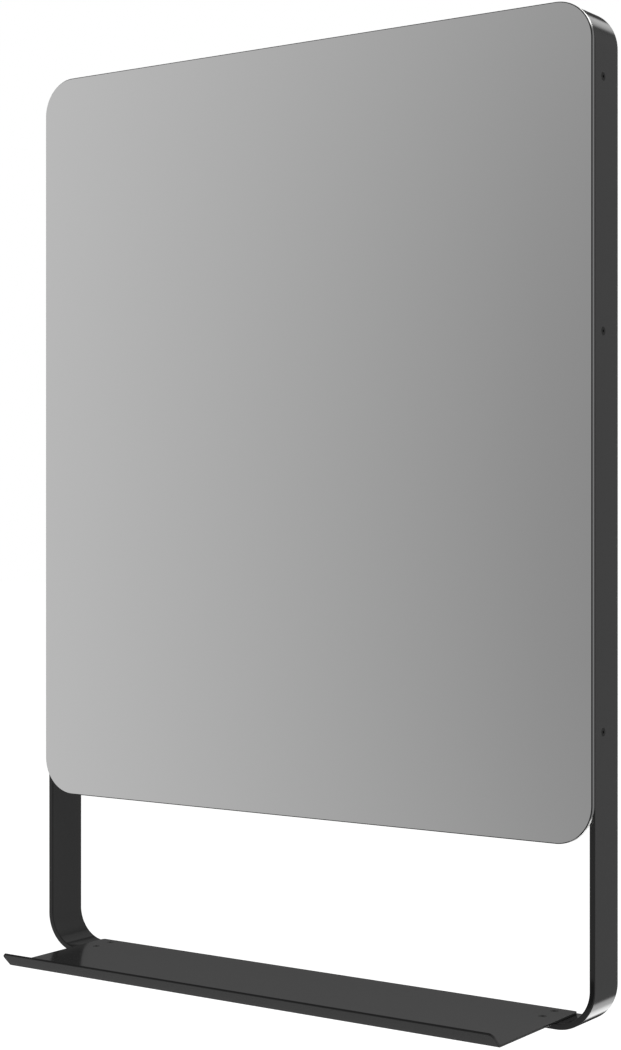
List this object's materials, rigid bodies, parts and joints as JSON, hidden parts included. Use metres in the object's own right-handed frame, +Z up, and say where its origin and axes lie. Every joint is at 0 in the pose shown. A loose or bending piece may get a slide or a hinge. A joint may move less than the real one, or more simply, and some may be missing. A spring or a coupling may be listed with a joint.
{
  "type": "wall mirror with shelf",
  "caption": "Rounded rectangular wall mirror on a black loop of flat steel bar, with a folded steel shelf on the loop's bottom bar.",
  "frame": {"origin": "on the wall plane, midway between the entries of the two keyholes that the mirror hangs by, 77 mm below the top of the frame", "axes": "+X to the right as seen from the room, +Y into the wall, +Z up"},
  "size_m": [0.7, 0.1749, 1],
  "materials": {
    "frame_paint": "black powder coat, fine satin texture",
    "shelf_paint": "black powder coat, fine satin texture",
    "crossbar_paint": "black powder coat, satin",
    "mirror": "silvered float glass with a polished edge",
    "backing_film": "mirror paint under a safety film",
    "tape_foam": "closed-cell foam tape",
    "zinc_steel": "bright zinc plate",
    "black_screws": "black zinc plate",
    "pad_rubber": "moulded rubber"
  },
  "bodies": {
    "root": {"frame_band": "frame_paint", "mirror_glass": "mirror", "mirror_backing": "backing_film", "top_crossbar": "crossbar_paint", "middle_crossbar": "crossbar_paint", "lower_crossbar": "crossbar_paint", "top_tape": "tape_foam", "middle_tape": "tape_foam", "lower_tape": "tape_foam", "rivet_nuts": "zinc_steel", "side_screws": "black_screws", "wall_pads": "pad_rubber", "shelf": "shelf_paint", "shelf_screws": "black_screws"}
  },
  "joints": []
}
